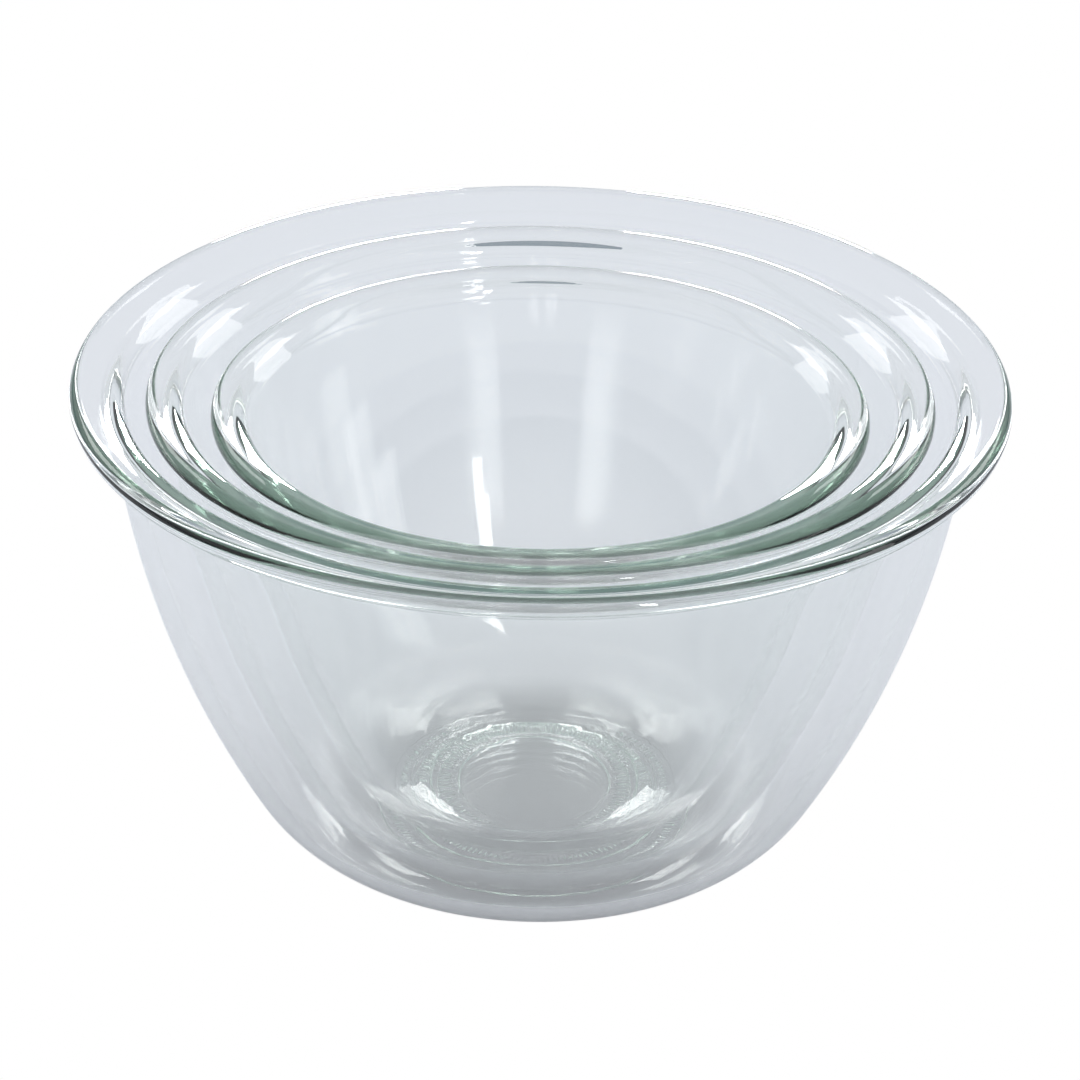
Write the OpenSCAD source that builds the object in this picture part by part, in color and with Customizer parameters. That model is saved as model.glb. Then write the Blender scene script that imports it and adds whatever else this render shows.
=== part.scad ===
// A nest of three clear pressed-glass mixing bowls.
// Each bowl is one piece of glass. The medium bowl stands on its foot ring inside the
// large bowl, and the small bowl stands the same way inside the medium one.
// Origin: centre of the large bowl's foot, on the table. +Z is up, along the bowls' axis.

/* [Large bowl] */
// Outer diameter of the large bowl, over its rim
large_rim_d = 230; // [180:1:300]
// Height of the large bowl, from the table to the top of its rim
large_h = 125; // [90:0.5:160]
// How far the large bowl's rim stands out past its wall
large_lip_w = 10; // [6:0.1:14]
// Outer diameter of the large bowl's foot ring
large_foot_d = 84; // [64:1:100]

/* [Medium bowl] */
// How far the medium bowl's rim stands out past its wall
medium_lip_w = 5.8; // [4:0.1:8]
// Width of the open ring between the medium bowl's wall and the large bowl's
medium_wall_gap = 9.7; // [7:0.1:14]
// How far the medium bowl's rim lies below the large bowl's
medium_rim_drop = 3.2; // [0:0.1:10]
// Room from the medium bowl's foot ring to where the large bowl's floor starts to curve up
medium_foot_room = 8; // [1:0.5:12]

/* [Small bowl] */
// How far the small bowl's rim stands out past its wall
small_lip_w = 5.5; // [4:0.1:8]
// Width of the open ring between the small bowl's wall and the medium bowl's
small_wall_gap = 11; // [9:0.1:14]
// How far the small bowl's rim lies below the medium bowl's
small_rim_drop = 4.1; // [0:0.1:10]
// Room from the small bowl's foot ring to where the medium bowl's floor starts to curve up
small_foot_room = 4; // [1:0.5:10]

/* [Glass] */
// Thickness of the walls
wall_t = 4.5; // [3:0.1:6]
// Thickness of the glass in the middle of the base
base_t = 3.6; // [3:0.1:7]
// Diameter of the rounded bead along the rim's edge
bead_d = 5.4; // [4:0.1:7]
// Angle at which the rim falls from its bead towards the wall
rim_tilt = 14; // [5:1:20]
// Radius of the hollow under the rim, where it meets the wall
rim_fillet_r = 5; // [2:0.5:8]
// Straight stretch kept under the rim, between that hollow and the bead
bead_clear = 0.3; // [0.2:0.1:1]
// Radius of the rounded inner edge of the rim
inner_edge_r = 5; // [3:0.5:7]
// Lean of the wall away from upright, just under the rim
wall_lean = 6.5; // [5:0.5:14]
// Radius of the wall's slow inward curve, from rim to heel
wall_curve_r = 250; // [200:1:500]
// Radius of the heel outside, between the wall and the foot
heel_r = 34.5; // [28:0.5:38]
// Radius of the heel inside, between the wall and the floor of the bowl
inner_heel_r = 31; // [22:0.5:34]

/* [Foot] */
// Height of the foot ring under the base
foot_h = 0.8; // [0.6:0.1:2]
// Width of the foot ring's bearing face
foot_w = 8; // [4:0.5:10]
// Chamfer on the foot ring's lower edges
foot_chamfer = 0.3; // [0.2:0.1:0.5]

/* [Nesting] */
// Clearance between a foot ring and the floor that it stands on
nest_gap = 0.3; // [0.2:0.1:1]

/* [Hidden] */
$fn = 180;

glass_tint = [0.80, 0.86, 0.85, 0.45];
floor_z = foot_h + base_t;
nest_rise = floor_z + nest_gap;

large_neck_r = large_rim_d / 2 - large_lip_w;
medium_neck_r = large_neck_r - wall_t - medium_wall_gap;
small_neck_r = medium_neck_r - wall_t - small_wall_gap;

medium_h = large_h - medium_rim_drop - nest_rise;
small_h = medium_h - small_rim_drop - nest_rise;

// One bowl's driving sizes, in the order that the functions below read them.
NECK_R = 0;
LIP_W = 1;
HEIGHT = 2;
FOOT_R = 3;

large = [large_neck_r, large_lip_w, large_h, large_foot_d / 2];
medium = [medium_neck_r, medium_lip_w, medium_h, floor_flat_r(large) - medium_foot_room];
small = [small_neck_r, small_lip_w, small_h, floor_flat_r(medium) - small_foot_room];

// Centre of the bead along the rim, in the half section [radius, height].
function bead_centre(b) = [b[NECK_R] + b[LIP_W] - bead_d / 2, b[HEIGHT] - bead_d / 2];

// Radius of the hollow under the rim, kept small enough to end before the bead.
function fillet_r(b) =
    let (room = b[LIP_W] - bead_d / 2 * (1 - sin(rim_tilt)) - bead_clear)
    min(rim_fillet_r, room / (cos(wall_lean) - sin(rim_tilt)));

// Height at which the outer wall ends and the hollow under the rim begins.
function neck_z(b) =
    let (c = bead_centre(b), r = fillet_r(b))
    r * sin(wall_lean) + c[1] - (bead_d / 2 + r) / cos(rim_tilt)
    + tan(rim_tilt) * (b[NECK_R] + r * cos(wall_lean) - c[0]);

// Centre of the wall's slow curve, which the outer and the inner wall share.
function wall_centre(b) = [
    b[NECK_R] - wall_curve_r * cos(wall_lean),
    neck_z(b) + wall_curve_r * sin(wall_lean)
];

// Lean at which a wall of radius wall_r runs into a heel of radius r that lands at height z.
function heel_lean(b, wall_r, r, z) = asin((wall_centre(b)[1] - r - z) / (wall_r - r));

// Centre of that heel.
function heel_centre(b, wall_r, r, z) = on_arc(wall_centre(b), wall_r - r, -heel_lean(b, wall_r, r, z));

// Radius of the flat floor inside a bowl.
function floor_flat_r(b) = heel_centre(b, wall_curve_r - wall_t, inner_heel_r, floor_z)[0];

// A point on an arc, and the points of an arc from one angle to another.
function on_arc(c, r, angle) = c + r * [cos(angle), sin(angle)];
function arc(c, r, from, to, steps) =
    [for (i = [0:steps]) on_arc(c, r, from + (to - from) * i / steps)];

// The foot ring: a low flat ring with chamfered edges around a shallow recess.
function foot_line(b) =
    let (outer = b[FOOT_R], inner = b[FOOT_R] - foot_w)
    [
        [0, foot_h], [inner, foot_h],
        [inner, foot_chamfer], [inner + foot_chamfer, 0],
        [outer - foot_chamfer, 0], [outer, foot_chamfer]
    ];

// Outside of the bowl, from the foot up to the hollow under the rim.
function outer_line(b) =
    let (
        heel = heel_centre(b, wall_curve_r, heel_r, foot_h),
        lean = heel_lean(b, wall_curve_r, heel_r, foot_h),
        foot_angle = -acos(max(0, b[FOOT_R] - heel[0]) / heel_r),
        neck = [b[NECK_R], neck_z(b)],
        fillet = on_arc(neck, fillet_r(b), -wall_lean)
    )
    concat(
        b[FOOT_R] > heel[0] ? [] : [[b[FOOT_R], foot_h]],
        arc(heel, heel_r, foot_angle, -lean, 14),
        arc(wall_centre(b), wall_curve_r, -lean + 1, -wall_lean, 12),
        arc(fillet, fillet_r(b), 180 - wall_lean - 10, 90 + rim_tilt, 6)
    );

// The bead, and the rim's top face down to its rounded inner edge.
function rim_line(b) =
    let (
        bead = bead_centre(b),
        inner_wall_r = wall_curve_r - wall_t,
        w = wall_centre(b),
        top = cos(rim_tilt) * (w[1] - bead[1]) - sin(rim_tilt) * (w[0] - bead[0]),
        lean = asin((top - bead_d / 2 + inner_edge_r) / (inner_wall_r + inner_edge_r)) - rim_tilt,
        edge = on_arc(w, inner_wall_r + inner_edge_r, -lean)
    )
    concat(
        arc(bead, bead_d / 2, rim_tilt - 90, 90 + rim_tilt, 18),
        arc(edge, inner_edge_r, 90 + rim_tilt, 180 - lean, 8)
    );

// Inside of the bowl, from under the rim down to the floor.
function inner_line(b) =
    let (
        inner_wall_r = wall_curve_r - wall_t,
        lean = heel_lean(b, inner_wall_r, inner_heel_r, floor_z),
        heel = heel_centre(b, inner_wall_r, inner_heel_r, floor_z)
    )
    concat(
        arc(wall_centre(b), inner_wall_r, -wall_lean, -lean + 1, 12),
        arc(heel, inner_heel_r, -lean, -90, 14),
        [[0, floor_z]]
    );

// One whole bowl, standing at the given height.
module bowl(b, rise) {
    translate([0, 0, rise])
        rotate_extrude()
            polygon(concat(foot_line(b), outer_line(b), rim_line(b), inner_line(b)));
}

module large_bowl() {
    color(glass_tint) bowl(large, 0);
}

module medium_bowl() {
    color(glass_tint) bowl(medium, nest_rise);
}

module small_bowl() {
    color(glass_tint) bowl(small, 2 * nest_rise);
}

large_bowl();
medium_bowl();
small_bowl();
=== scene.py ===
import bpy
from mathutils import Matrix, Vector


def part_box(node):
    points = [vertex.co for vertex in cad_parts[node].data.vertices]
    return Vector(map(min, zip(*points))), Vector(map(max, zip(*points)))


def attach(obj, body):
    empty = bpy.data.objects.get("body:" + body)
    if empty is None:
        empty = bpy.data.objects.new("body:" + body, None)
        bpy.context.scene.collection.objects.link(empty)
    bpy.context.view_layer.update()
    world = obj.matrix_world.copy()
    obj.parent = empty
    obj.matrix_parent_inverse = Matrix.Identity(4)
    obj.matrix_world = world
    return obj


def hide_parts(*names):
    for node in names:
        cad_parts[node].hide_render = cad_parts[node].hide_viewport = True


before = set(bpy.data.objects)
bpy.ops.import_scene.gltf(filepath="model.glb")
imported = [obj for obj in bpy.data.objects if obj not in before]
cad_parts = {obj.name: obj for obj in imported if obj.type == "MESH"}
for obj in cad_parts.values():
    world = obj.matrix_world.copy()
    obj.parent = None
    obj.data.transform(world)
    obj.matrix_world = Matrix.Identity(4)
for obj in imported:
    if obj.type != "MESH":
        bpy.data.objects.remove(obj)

"""Looks for a nest of three clear pressed-glass mixing bowls.

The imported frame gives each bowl's shape and place. Each bowl is made again here as a fine
turned mesh with a knurled foot ring, in clear glass with a faint green body tint. Lengths
are in metres, +Z is up, and the origin is the centre of the large bowl's foot.
"""

import logging
import math
from dataclasses import dataclass
from enum import Enum

import bmesh
import bpy
from mathutils import Euler, Matrix, Vector

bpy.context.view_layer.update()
LOG = logging.getLogger("mixing_bowls")
UP = Vector((0.0, 0.0, 1.0))
AXIS_POINT = (0.0, 0.0, 0.0)
WHITE = (1.0, 1.0, 1.0, 1.0)

RIPPLE_DETAIL = 1.5
RIPPLE_ROUGHNESS = 0.4
DRAW_LINE_STRETCH = (30.0, 30.0, 340.0)
SMEAR_SCALE = 22.0
SMEAR_DETAIL = 4.0
SMEAR_BAND = (0.52, 0.72)
SCUFF_SCALE = 900.0
SCUFF_DETAIL = 2.0
SCUFF_BAND = (0.70, 0.80)


class Finish(Enum):
    """A name for a clear glass finish."""

    CLEAR_GLASS = "clear_glass"


# --- shader helpers -------------------------------------------------------------------------


def add_socket(group: bpy.types.NodeTree, name: str, kind: str, output: bool = False) -> None:
    """Add one named socket to a node group.

    Args:
        group: The node group.
        name: The socket's name.
        kind: Blender's name for the socket's type.
        output: True for an output, False for an input.
    """
    group.interface.new_socket(
        name=name, in_out="OUTPUT" if output else "INPUT", socket_type=kind)


def add_node(tree: bpy.types.NodeTree, kind: str, place: tuple[float, float],
             **values: object) -> bpy.types.Node:
    """Add a node and set its plain properties.

    Args:
        tree: The node tree that takes the node.
        kind: Blender's identifier for the node.
        place: Where it sits in the node editor.
        values: Properties to set on the node.

    Returns:
        The new node.
    """
    node = tree.nodes.new(kind)
    node.location = place
    for name, value in values.items():
        setattr(node, name, value)
    return node


def add_noise(tree: bpy.types.NodeTree, place: tuple[float, float], vector: bpy.types.NodeSocket,
              scale: float, detail: float) -> bpy.types.Node:
    """Add a noise texture that reads a given position.

    Args:
        tree: The node tree that takes the node.
        place: Where it sits in the node editor.
        vector: The output that gives the position.
        scale: How many features there are to a metre.
        detail: How many finer octaves it has.

    Returns:
        The noise node.
    """
    noise = add_node(tree, "ShaderNodeTexNoise", place)
    noise.inputs["Scale"].default_value = scale
    noise.inputs["Detail"].default_value = detail
    tree.links.new(vector, noise.inputs["Vector"])
    return noise


def add_band(tree: bpy.types.NodeTree, place: tuple[float, float], value: bpy.types.NodeSocket,
             band: tuple[float, float]) -> bpy.types.Node:
    """Add a smooth step that turns a noise into a mask of patches.

    Args:
        tree: The node tree that takes the node.
        place: Where it sits in the node editor.
        value: The output that gives the noise.
        band: Where the mask starts to rise, and where it is full.

    Returns:
        The step node.
    """
    step = add_node(tree, "ShaderNodeMapRange", place, interpolation_type="SMOOTHSTEP")
    step.inputs["From Min"].default_value, step.inputs["From Max"].default_value = band
    tree.links.new(value, step.inputs["Value"])
    return step


def pressed_surface_group() -> bpy.types.NodeTree:
    """Build the shared surface of pressed glass.

    It gives the slow ripple that a cooling mould leaves, finer draw lines around the wall,
    and a roughness that rises a little in handling marks and fine scuffs.

    Returns:
        The node group, with Roughness and Normal outputs.
    """
    group = bpy.data.node_groups.new("pressed_surface", "ShaderNodeTree")
    for name in ("Ripple Scale", "Ripple Height", "Draw Lines", "Smear", "Scuff"):
        add_socket(group, name, "NodeSocketFloat")
    add_socket(group, "Roughness", "NodeSocketFloat", output=True)
    add_socket(group, "Normal", "NodeSocketVector", output=True)

    entry = add_node(group, "NodeGroupInput", (-1200, 0))
    leave = add_node(group, "NodeGroupOutput", (700, 0))
    place = add_node(group, "ShaderNodeTexCoord", (-1200, -300)).outputs["Object"]

    ripple = add_noise(group, (-900, 200), place, 1.0, RIPPLE_DETAIL)
    ripple.inputs["Roughness"].default_value = RIPPLE_ROUGHNESS
    group.links.new(entry.outputs["Ripple Scale"], ripple.inputs["Scale"])

    stretch = add_node(group, "ShaderNodeMapping", (-1000, -100))
    stretch.inputs["Scale"].default_value = DRAW_LINE_STRETCH
    group.links.new(place, stretch.inputs["Vector"])
    lines = add_noise(group, (-800, -100), stretch.outputs["Vector"], 1.0, 1.0)

    weigh = add_node(group, "ShaderNodeMath", (-550, 50), operation="MULTIPLY_ADD")
    group.links.new(lines.outputs["Fac"], weigh.inputs[0])
    group.links.new(entry.outputs["Draw Lines"], weigh.inputs[1])
    group.links.new(ripple.outputs["Fac"], weigh.inputs[2])

    bump = add_node(group, "ShaderNodeBump", (-250, 100))
    bump.inputs["Strength"].default_value = 1.0
    group.links.new(weigh.outputs["Value"], bump.inputs["Height"])
    group.links.new(entry.outputs["Ripple Height"], bump.inputs["Distance"])
    group.links.new(bump.outputs["Normal"], leave.inputs["Normal"])

    smear = add_noise(group, (-900, -400), place, SMEAR_SCALE, SMEAR_DETAIL)
    patch = add_band(group, (-650, -400), smear.outputs["Fac"], SMEAR_BAND)
    scuff = add_noise(group, (-900, -650), place, SCUFF_SCALE, SCUFF_DETAIL)
    speck = add_band(group, (-650, -650), scuff.outputs["Fac"], SCUFF_BAND)

    part = add_node(group, "ShaderNodeMath", (-350, -400), operation="MULTIPLY")
    both = add_node(group, "ShaderNodeMath", (-100, -450), operation="MULTIPLY_ADD")
    group.links.new(patch.outputs["Result"], part.inputs[0])
    group.links.new(entry.outputs["Smear"], part.inputs[1])
    group.links.new(speck.outputs["Result"], both.inputs[0])
    group.links.new(entry.outputs["Scuff"], both.inputs[1])
    group.links.new(part.outputs["Value"], both.inputs[2])
    group.links.new(both.outputs["Value"], leave.inputs["Roughness"])
    return group


def show_white(tree: bpy.types.NodeTree, look: bpy.types.NodeSocket, white: bpy.types.NodeSocket,
               surface: bpy.types.NodeSocket) -> None:
    """Show plain white to the camera, and the real look to the glass alone.

    Args:
        tree: The node tree of the table or the tent.
        look: The output with the look that the glass bends and mirrors.
        white: The output with plain white.
        surface: The input that takes the result.
    """
    path = add_node(tree, "ShaderNodeLightPath", (0, 400))
    pick = add_node(tree, "ShaderNodeMixShader", (300, 0))
    tree.links.new(path.outputs["Is Camera Ray"], pick.inputs["Fac"])
    tree.links.new(look, pick.inputs[1])
    tree.links.new(white, pick.inputs[2])
    tree.links.new(pick.outputs["Shader"], surface)


@dataclass(frozen=True)
class PressedGlass:
    """Clear pressed soda-lime glass.

    The body tint shows as a soft green only where light runs a long way inside the glass,
    as it does in the bead along a rim.
    """

    name: str
    ior: float = 1.5
    body_tint: tuple[float, float, float] = (0.41, 0.57, 0.48)
    tint_density: float = 6.5
    ripple_scale: float = 28.0
    ripple_height: float = 0.0001
    draw_lines: float = 0.05
    smear: float = 0.02
    scuff: float = 0.03

    def build(self, surface: bpy.types.NodeTree) -> bpy.types.Material:
        """Make the material.

        Args:
            surface: The shared pressed-surface group.

        Returns:
            The finished glass.
        """
        material = bpy.data.materials.new(self.name)
        material.use_nodes = True
        tree = material.node_tree
        shader = tree.nodes["Principled BSDF"]
        shader.inputs["Base Color"].default_value = WHITE
        shader.inputs["Metallic"].default_value = 0.0
        shader.inputs["Transmission Weight"].default_value = 1.0
        shader.inputs["IOR"].default_value = self.ior

        press = add_node(tree, "ShaderNodeGroup", (-300, 200), node_tree=surface)
        for name, value in (
            ("Ripple Scale", self.ripple_scale),
            ("Ripple Height", self.ripple_height),
            ("Draw Lines", self.draw_lines),
            ("Smear", self.smear),
            ("Scuff", self.scuff),
        ):
            press.inputs[name].default_value = value
        tree.links.new(press.outputs["Roughness"], shader.inputs["Roughness"])
        tree.links.new(press.outputs["Normal"], shader.inputs["Normal"])

        body = add_node(tree, "ShaderNodeVolumeAbsorption", (0, -300))
        body.inputs["Color"].default_value = (*self.body_tint, 1.0)
        body.inputs["Density"].default_value = self.tint_density
        tree.links.new(body.outputs["Volume"], tree.nodes["Material Output"].inputs["Volume"])
        return material


# --- the bowls ------------------------------------------------------------------------------


@dataclass
class Bowl:
    """One pressed-glass bowl, turned from the half section of its CAD node.

    The number of ridges under the foot is a multiple of half the number of sectors.
    """

    node: str
    body: str
    ridges: int
    glass: PressedGlass
    ridge_depth: float = 0.00028
    flat_cuts: int = 7
    flat_share: float = 0.125
    straight_angle: float = math.radians(0.1)
    sharp_angle: float = math.radians(28.0)
    weld: float = 1e-6
    sectors: int = 8

    def half_section(self) -> bpy.types.Mesh:
        """Cut the CAD bowl down its axis and keep the half on the +X side.

        Returns:
            A mesh of edges only: the bowl's outline from the foot round to the floor.
        """
        cut = bmesh.new()
        cut.from_mesh(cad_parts[self.node].data)
        bmesh.ops.remove_doubles(cut, verts=cut.verts, dist=self.weld)
        for normal, clear_both in (((0.0, 1.0, 0.0), True), ((-1.0, 0.0, 0.0), False)):
            bmesh.ops.bisect_plane(
                cut, geom=cut.verts[:] + cut.edges[:] + cut.faces[:], dist=self.weld,
                plane_co=AXIS_POINT, plane_no=normal, clear_outer=True, clear_inner=clear_both)
        bmesh.ops.remove_doubles(cut, verts=cut.verts, dist=self.weld)
        bmesh.ops.dissolve_limit(
            cut, angle_limit=self.straight_angle, verts=cut.verts, edges=cut.edges)
        low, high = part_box(self.node)
        longest_step = (high.z - low.z) * self.flat_share
        flats = [e for e in cut.edges if e.calc_length() > longest_step]
        bmesh.ops.subdivide_edges(cut, edges=flats, cuts=self.flat_cuts)
        outline = bpy.data.meshes.new(f"{self.node}_outline")
        cut.to_mesh(outline)
        cut.free()
        return outline

    def smooth_outline(self) -> bpy.types.Mesh:
        """Round the outline's small steps into flowing curves.

        Returns:
            The smoothed outline, with its ends still on the axis.
        """
        wire = bpy.data.objects.new(f"{self.node}_wire", self.half_section())
        bpy.context.scene.collection.objects.link(wire)
        rounding = wire.modifiers.new("rounding", "SUBSURF")
        rounding.levels = rounding.render_levels = 1
        graph = bpy.context.evaluated_depsgraph_get()
        smoothed = bpy.data.meshes.new_from_object(wire.evaluated_get(graph))
        rough = wire.data
        bpy.data.objects.remove(wire)
        bpy.data.meshes.remove(rough)
        return smoothed

    def turn(self) -> bpy.types.Mesh:
        """Spin the outline a full turn about the bowl's axis.

        Returns:
            The closed bowl, faces outward, with its foot ring knurled.
        """
        outline = self.smooth_outline()
        shape = bmesh.new()
        shape.from_mesh(outline)
        bpy.data.meshes.remove(outline)
        bmesh.ops.spin(
            shape, geom=shape.verts[:] + shape.edges[:], cent=AXIS_POINT, axis=UP,
            angle=math.tau / self.sectors, steps=2 * self.ridges // self.sectors,
            use_merge=False, use_duplicate=False)
        share = self.sectors
        while share > 1:
            twin = bmesh.ops.duplicate(
                shape, geom=shape.verts[:] + shape.edges[:] + shape.faces[:])["geom"]
            bmesh.ops.rotate(
                shape, verts=[v for v in twin if isinstance(v, bmesh.types.BMVert)],
                cent=AXIS_POINT, matrix=Matrix.Rotation(math.tau / share, 3, UP))
            share //= 2
        bmesh.ops.remove_doubles(shape, verts=shape.verts, dist=self.weld)
        bmesh.ops.dissolve_degenerate(shape, edges=shape.edges, dist=self.weld / 2)
        self.knurl(shape)
        bmesh.ops.recalc_face_normals(shape, faces=shape.faces)
        for face in shape.faces:
            face.smooth = True
        for edge in shape.edges:
            edge.smooth = edge.calc_face_angle(0.0) < self.sharp_angle
        mesh = bpy.data.meshes.new(self.node.replace("_bowl", "_glass"))
        shape.to_mesh(mesh)
        shape.free()
        return mesh

    def knurl(self, shape: bmesh.types.BMesh) -> None:
        """Press radial ridges into the foot ring's bearing face.

        Args:
            shape: The turned bowl, with two columns of points to each ridge.
        """
        low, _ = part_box(self.node)
        half_step = math.pi / self.ridges
        hollows = [
            v for v in shape.verts
            if v.co.z < low.z + self.ridge_depth / 2
            and round(math.atan2(v.co.y, v.co.x) / half_step) % 2
        ]
        bmesh.ops.translate(shape, verts=hollows, vec=UP * self.ridge_depth)

    def make(self, surface: bpy.types.NodeTree) -> bpy.types.Object:
        """Build the bowl, dress it and hand it to the frame.

        Args:
            surface: The shared pressed-surface group.

        Returns:
            The finished piece.
        """
        mesh = self.turn()
        piece = bpy.data.objects.new(mesh.name, mesh)
        bpy.context.scene.collection.objects.link(piece)
        mesh.materials.append(self.glass.build(surface))
        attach(piece, self.body)
        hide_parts(self.node)
        LOG.info("%s: %d faces", mesh.name, len(mesh.polygons))
        return piece


# --- the studio -----------------------------------------------------------------------------


@dataclass
class SoftBox:
    """One soft studio lamp, placed by bearing and height around the bowls.

    It is there to be mirrored and bent by the glass; the tent alone lights the table. The
    bearing is in degrees from +X towards +Y, and the camera stands at -90.
    """

    name: str
    bearing: float
    elevation: float
    distance: float
    width: float
    height: float
    power: float

    def build(self, target: Vector) -> bpy.types.Object:
        """Hang the lamp and aim it.

        Args:
            target: The point that it faces.

        Returns:
            The lamp.
        """
        data = bpy.data.lights.new(self.name, "AREA")
        data.shape = "RECTANGLE"
        data.size, data.size_y = self.width, self.height
        data.energy = self.power
        lamp = bpy.data.objects.new(self.name, data)
        bpy.context.scene.collection.objects.link(lamp)
        turn = Euler((0.0, -math.radians(self.elevation), math.radians(self.bearing)))
        away = Vector((self.distance, 0.0, 0.0))
        away.rotate(turn)
        lamp.location = target + away
        lamp.rotation_euler = (-away).to_track_quat("-Z", "Y").to_euler()
        lamp.visible_camera = False
        lamp.visible_diffuse = False
        return lamp


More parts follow.
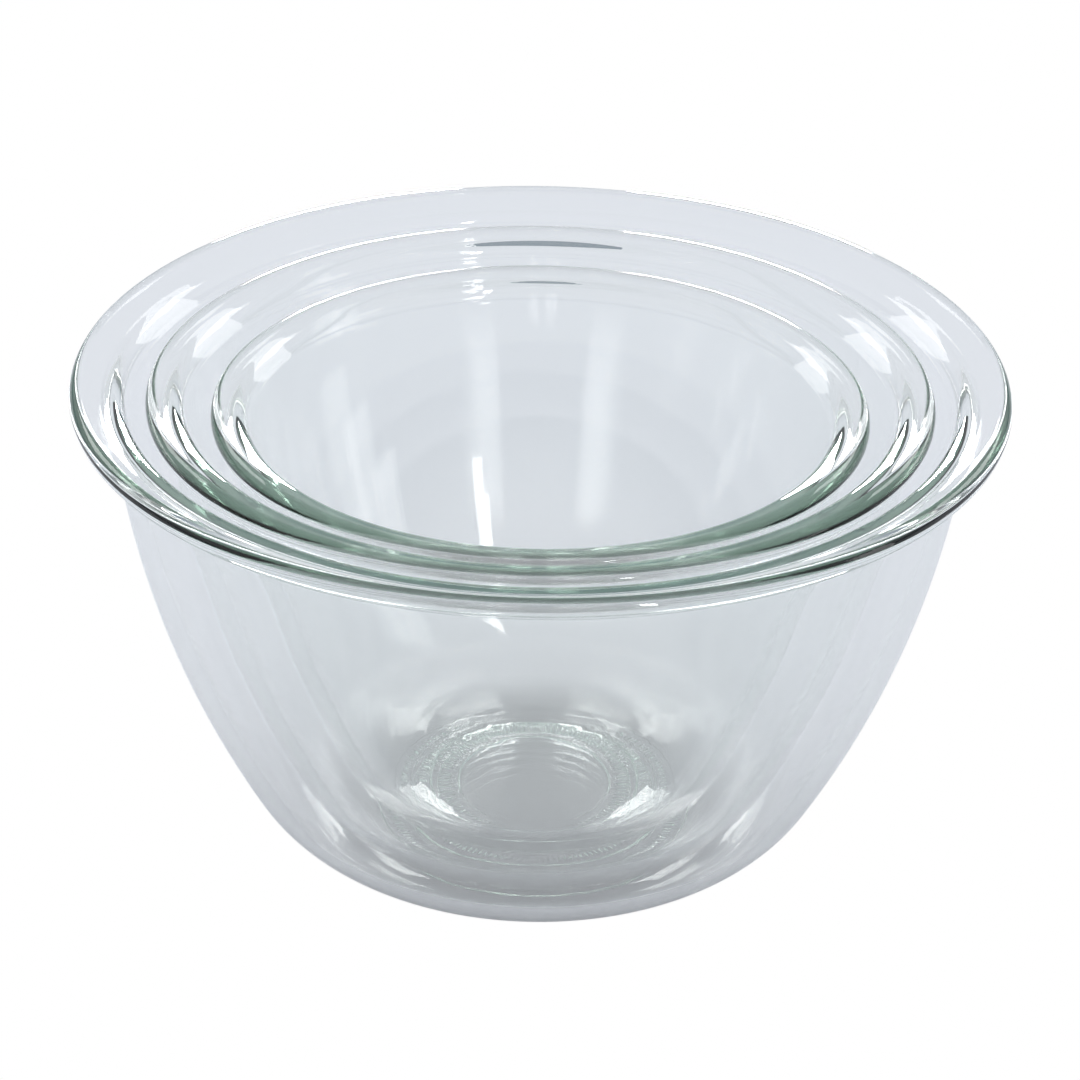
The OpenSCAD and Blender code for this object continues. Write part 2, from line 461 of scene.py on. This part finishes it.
@dataclass
class Studio:
    """A white table in a pale tent, with the lamps and the camera.

    Angles are in degrees, the lens and the sensor are in millimetres, and the camera's
    distance is in radii of the large rim.
    """

    camera_elevation: float = 26.43
    camera_distance: float = 10.0
    camera_roll: float = 1.0
    camera_tilt: float = 1.897
    camera_pan: float = 0.021
    lens: float = 156.57
    sensor: float = 36.0
    view_reach: float = 100.0
    bead_share: float = 0.0235
    table_reach: float = 12.0
    table_roughness: float = 0.9
    table_colour: tuple[float, float, float] = (0.83, 0.845, 0.88)
    table_glow: tuple[float, float, float] = (0.175, 0.178, 0.19)
    # Painted shadow on the table: its colour is darkened by this factor within this radius of
    # the foot's centre, and eases back to full colour by this reach.
    painted_shadow_factor: float = 0.5
    painted_shadow_radius: float = 0.036
    painted_shadow_reach: float = 0.066
    tent_tones: tuple[tuple[float, tuple[float, float, float, float]], ...] = (
        (0.0, (0.20, 0.25, 0.30, 1.0)),
        (0.05, (0.22, 0.27, 0.32, 1.0)),
        (0.15, (0.69, 0.73, 0.77, 1.0)),
        (0.34, (0.79, 0.81, 0.84, 1.0)),
        (1.0, (0.68, 0.70, 0.72, 1.0)),
    )
    wall_bounces: int = 160
    gloss_bounces: int = 64
    clear_bounces: int = 24

    def rim(self) -> tuple[Vector, float]:
        """Find the large rim.

        Returns:
            The centre of the large rim's bead, and the rim's outer radius.
        """
        low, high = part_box("large_bowl")
        radius = (high.x - low.x) / 2.0
        return Vector((0.0, 0.0, high.z - radius * self.bead_share)), radius

    def place_camera(self) -> None:
        """Set the camera that looks down into the bowls from the front."""
        centre, radius = self.rim()
        lift = math.radians(self.camera_elevation)
        away = Vector((0.0, -math.cos(lift), math.sin(lift))) * self.camera_distance * radius
        data = bpy.data.cameras.new("camera")
        data.sensor_width = self.sensor
        data.lens = self.lens
        data.clip_end = self.view_reach
        camera = bpy.data.objects.new("camera", data)
        bpy.context.scene.collection.objects.link(camera)
        facing = (-away).to_track_quat("-Z", "Y").to_matrix()
        tilt = Euler((-math.radians(self.camera_tilt),
                      -math.radians(self.camera_pan), 0.0)).to_matrix()
        roll = Matrix.Rotation(math.radians(self.camera_roll), 3, "Z")
        camera.matrix_world = (
            Matrix.Translation(centre + away) @ (facing @ tilt @ roll).to_4x4())
        bpy.context.scene.camera = camera

    def lay_table(self) -> None:
        """Lay the plain white table, with a painted shadow under the large bowl's foot.

        The camera sees the table as plain white; the glass sees its real tone and the painted
        shadow, a darker ring of colour that stands in for the shade under the bowls.
        """
        sheet = bmesh.new()
        bmesh.ops.create_grid(sheet, x_segments=1, y_segments=1, size=self.table_reach)
        mesh = bpy.data.meshes.new("table")
        sheet.to_mesh(mesh)
        sheet.free()
        material = bpy.data.materials.new("white_table")
        material.use_nodes = True
        tree = material.node_tree
        shader = tree.nodes["Principled BSDF"]
        place = add_node(tree, "ShaderNodeTexCoord", (-1000, 0))
        reach = add_node(tree, "ShaderNodeVectorMath", (-800, 0), operation="LENGTH")
        # Painted shadow: this ramp darkens the table's colour near the large bowl's foot, in
        # place of the shade that falls under the bowls.
        tone = add_node(tree, "ShaderNodeValToRGB", (-500, 0))
        tone.color_ramp.interpolation = "EASE"
        inner, outer = tone.color_ramp.elements
        inner.position = self.painted_shadow_radius
        inner.color = (*(c * self.painted_shadow_factor for c in self.table_colour), 1.0)
        outer.position, outer.color = self.painted_shadow_reach, (*self.table_colour, 1.0)
        tree.links.new(place.outputs["Object"], reach.inputs[0])
        tree.links.new(reach.outputs["Value"], tone.inputs["Fac"])
        tree.links.new(tone.outputs["Color"], shader.inputs["Base Color"])
        shader.inputs["Roughness"].default_value = self.table_roughness
        shader.inputs["Specular IOR Level"].default_value = 0.0
        shader.inputs["Emission Color"].default_value = (*self.table_glow, 1.0)
        shader.inputs["Emission Strength"].default_value = 1.0
        plain = add_node(tree, "ShaderNodeEmission", (0, -400))
        show_white(tree, shader.outputs["BSDF"], plain.outputs["Emission"],
                   tree.nodes["Material Output"].inputs["Surface"])
        mesh.materials.append(material)
        table = bpy.data.objects.new("table", mesh)
        table.location.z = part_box("large_bowl")[0].z
        bpy.context.scene.collection.objects.link(table)

    def wrap_tent(self) -> None:
        """Surround the table with a soft tent that is dark at its hem, pale above it.

        The glass mirrors and bends the tent; the camera sees plain white behind the bowls.
        """
        world = bpy.data.worlds.new("tent")
        world.use_nodes = True
        tree = world.node_tree
        place = add_node(tree, "ShaderNodeTexCoord", (-800, 0))
        split = add_node(tree, "ShaderNodeSeparateXYZ", (-600, 0))
        ramp = add_node(tree, "ShaderNodeValToRGB", (-400, 0))
        tree.links.new(place.outputs["Generated"], split.inputs["Vector"])
        tree.links.new(split.outputs["Z"], ramp.inputs["Fac"])
        hem, crown = ramp.color_ramp.elements
        (hem.position, hem.color), *between, (crown.position, crown.color) = self.tent_tones
        for height, colour in between:
            ramp.color_ramp.elements.new(height).color = colour
        tent = tree.nodes["Background"]
        tree.links.new(ramp.outputs["Color"], tent.inputs["Color"])
        plain = add_node(tree, "ShaderNodeBackground", (0, -200))
        plain.inputs["Color"].default_value = WHITE
        show_white(tree, tent.outputs["Background"], plain.outputs["Background"],
                   tree.nodes["World Output"].inputs["Surface"])
        bpy.context.scene.world = world

    def hang_lamps(self) -> None:
        """Hang every soft box."""
        centre, _ = self.rim()
        for box in (
            SoftBox("back_right_box", 48.0, 31.0, 1.6, 0.5, 0.5, 2.7),
            SoftBox("back_left_box", 130.0, 31.0, 1.6, 0.5, 0.5, 2.6),
            SoftBox("back_window_right", 83.5, 9.0, 1.5, 0.2, 0.36, 28.0),
            SoftBox("back_window_left", 96.5, 9.0, 1.5, 0.2, 0.36, 26.0),
            SoftBox("window", -67.0, 17.0, 0.6, 0.035, 0.2, 0.45),
            SoftBox("side_strip", -15.0, 6.0, 0.6, 0.12, 0.3, 0.2),
        ):
            box.build(centre)

    def set_light_paths(self) -> None:
        """Let light pass every wall of the nest, and keep whites plain."""
        scene = bpy.context.scene
        scene.cycles.max_bounces = self.wall_bounces
        scene.cycles.transmission_bounces = self.wall_bounces
        scene.cycles.glossy_bounces = self.gloss_bounces
        scene.cycles.transparent_max_bounces = self.clear_bounces
        scene.view_settings.view_transform = "Standard"

    def build(self) -> None:
        """Set up the whole studio."""
        self.place_camera()
        self.lay_table()
        self.wrap_tent()
        self.hang_lamps()
        self.set_light_paths()


def nest() -> tuple[Bowl, ...]:
    """The three bowls, from the outside in, with the fineness of each foot's knurling."""
    glass = PressedGlass("clear_pressed_glass")
    return (
        Bowl("large_bowl", "large", 164, glass),
        Bowl("medium_bowl", "medium", 136, glass),
        Bowl("small_bowl", "small", 112, glass),
    )


def main() -> None:
    """Build the studio and the nest of bowls."""
    logging.basicConfig(level=logging.INFO, format="%(name)s: %(message)s")
    Studio().build()
    surface = pressed_surface_group()
    for bowl in nest():
        bowl.make(surface)


if __name__ == "__main__":
    main()
